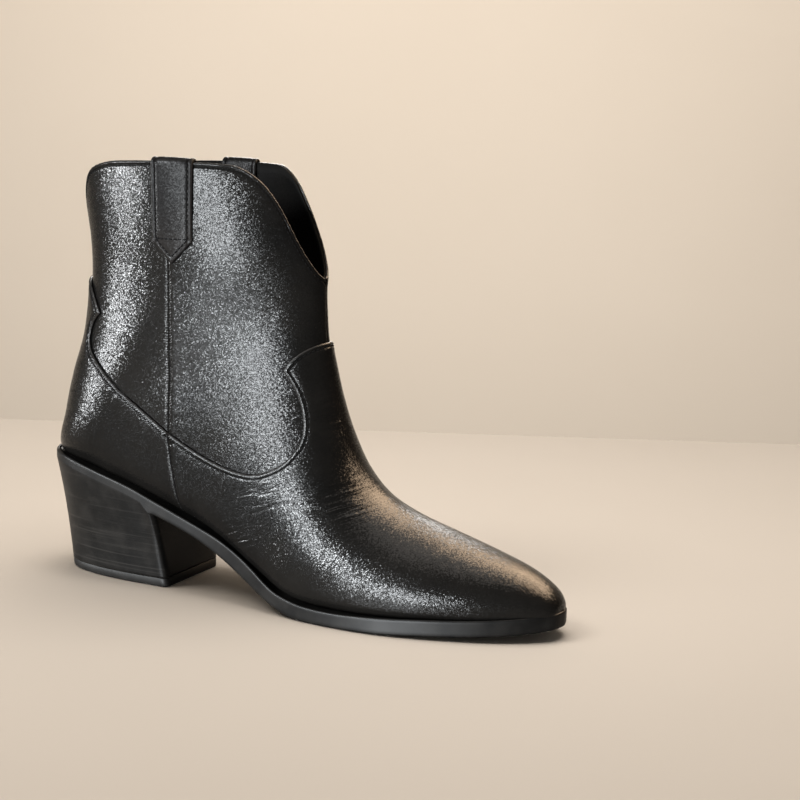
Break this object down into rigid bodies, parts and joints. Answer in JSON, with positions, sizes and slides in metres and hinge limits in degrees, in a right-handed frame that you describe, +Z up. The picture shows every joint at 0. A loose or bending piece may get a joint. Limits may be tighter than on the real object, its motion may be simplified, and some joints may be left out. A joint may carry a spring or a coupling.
{
  "type": "cowboy boot",
  "caption": "Ankle-high cowboy boot with a pointed toe, block heel, scalloped shaft, overlaid vamp and counter, and pull straps.",
  "frame": {"origin": "on the floor under the middle of the boot's bounding box", "axes": "+X towards the toe, +Z up, -Y the lateral (outer) side of this right boot"},
  "size_m": [0.274, 0.082, 0.2102],
  "materials": {
    "upper_leather": "black full-grain leather, fine pebble grain, soft gloss",
    "strap_leather": "black leather strap, edges folded and stitched",
    "lining_leather": "smooth charcoal lining leather, dull",
    "stiffener_board": "impregnated fibre sheet, dull",
    "insole_board": "pressed cellulose board, dull",
    "foam": "open-cell foam, dull",
    "sock_leather": "smooth sock leather, dull",
    "filler_cork": "bonded cork, dull",
    "sole_rubber": "black moulded rubber, satin",
    "lift_rubber": "hard black rubber, satin",
    "heel_core_plastic": "moulded plastic, dull",
    "steel": "plain steel"
  },
  "bodies": {
    "root": {"vamp": "upper_leather", "counter_cover": "upper_leather", "shaft_front_lateral": "upper_leather", "shaft_front_medial": "upper_leather", "shaft_back_lateral": "upper_leather", "shaft_back_medial": "upper_leather", "pull_strap_lateral": "strap_leather", "pull_strap_medial": "strap_leather", "toe_puff": "stiffener_board", "vamp_backer": "stiffener_board", "heel_stiffener": "stiffener_board", "vamp_lining": "lining_leather", "quarter_lining_lateral": "lining_leather", "quarter_lining_medial": "lining_leather", "heel_grip": "lining_leather", "insole_board": "insole_board", "sock_foam": "foam", "sock_cover": "sock_leather", "bottom_filler": "filler_cork", "steel_shank": "steel", "shank_rivet_1": "steel", "shank_rivet_2": "steel", "unit_sole": "sole_rubber", "heel_core": "heel_core_plastic", "top_lift": "lift_rubber", "heel_nail_1": "steel", "heel_nail_2": "steel", "heel_nail_3": "steel", "heel_nail_4": "steel", "heel_screw": "steel", "top_lift_pin_1": "steel", "top_lift_pin_2": "steel", "top_lift_pin_3": "steel"}
  },
  "joints": []
}
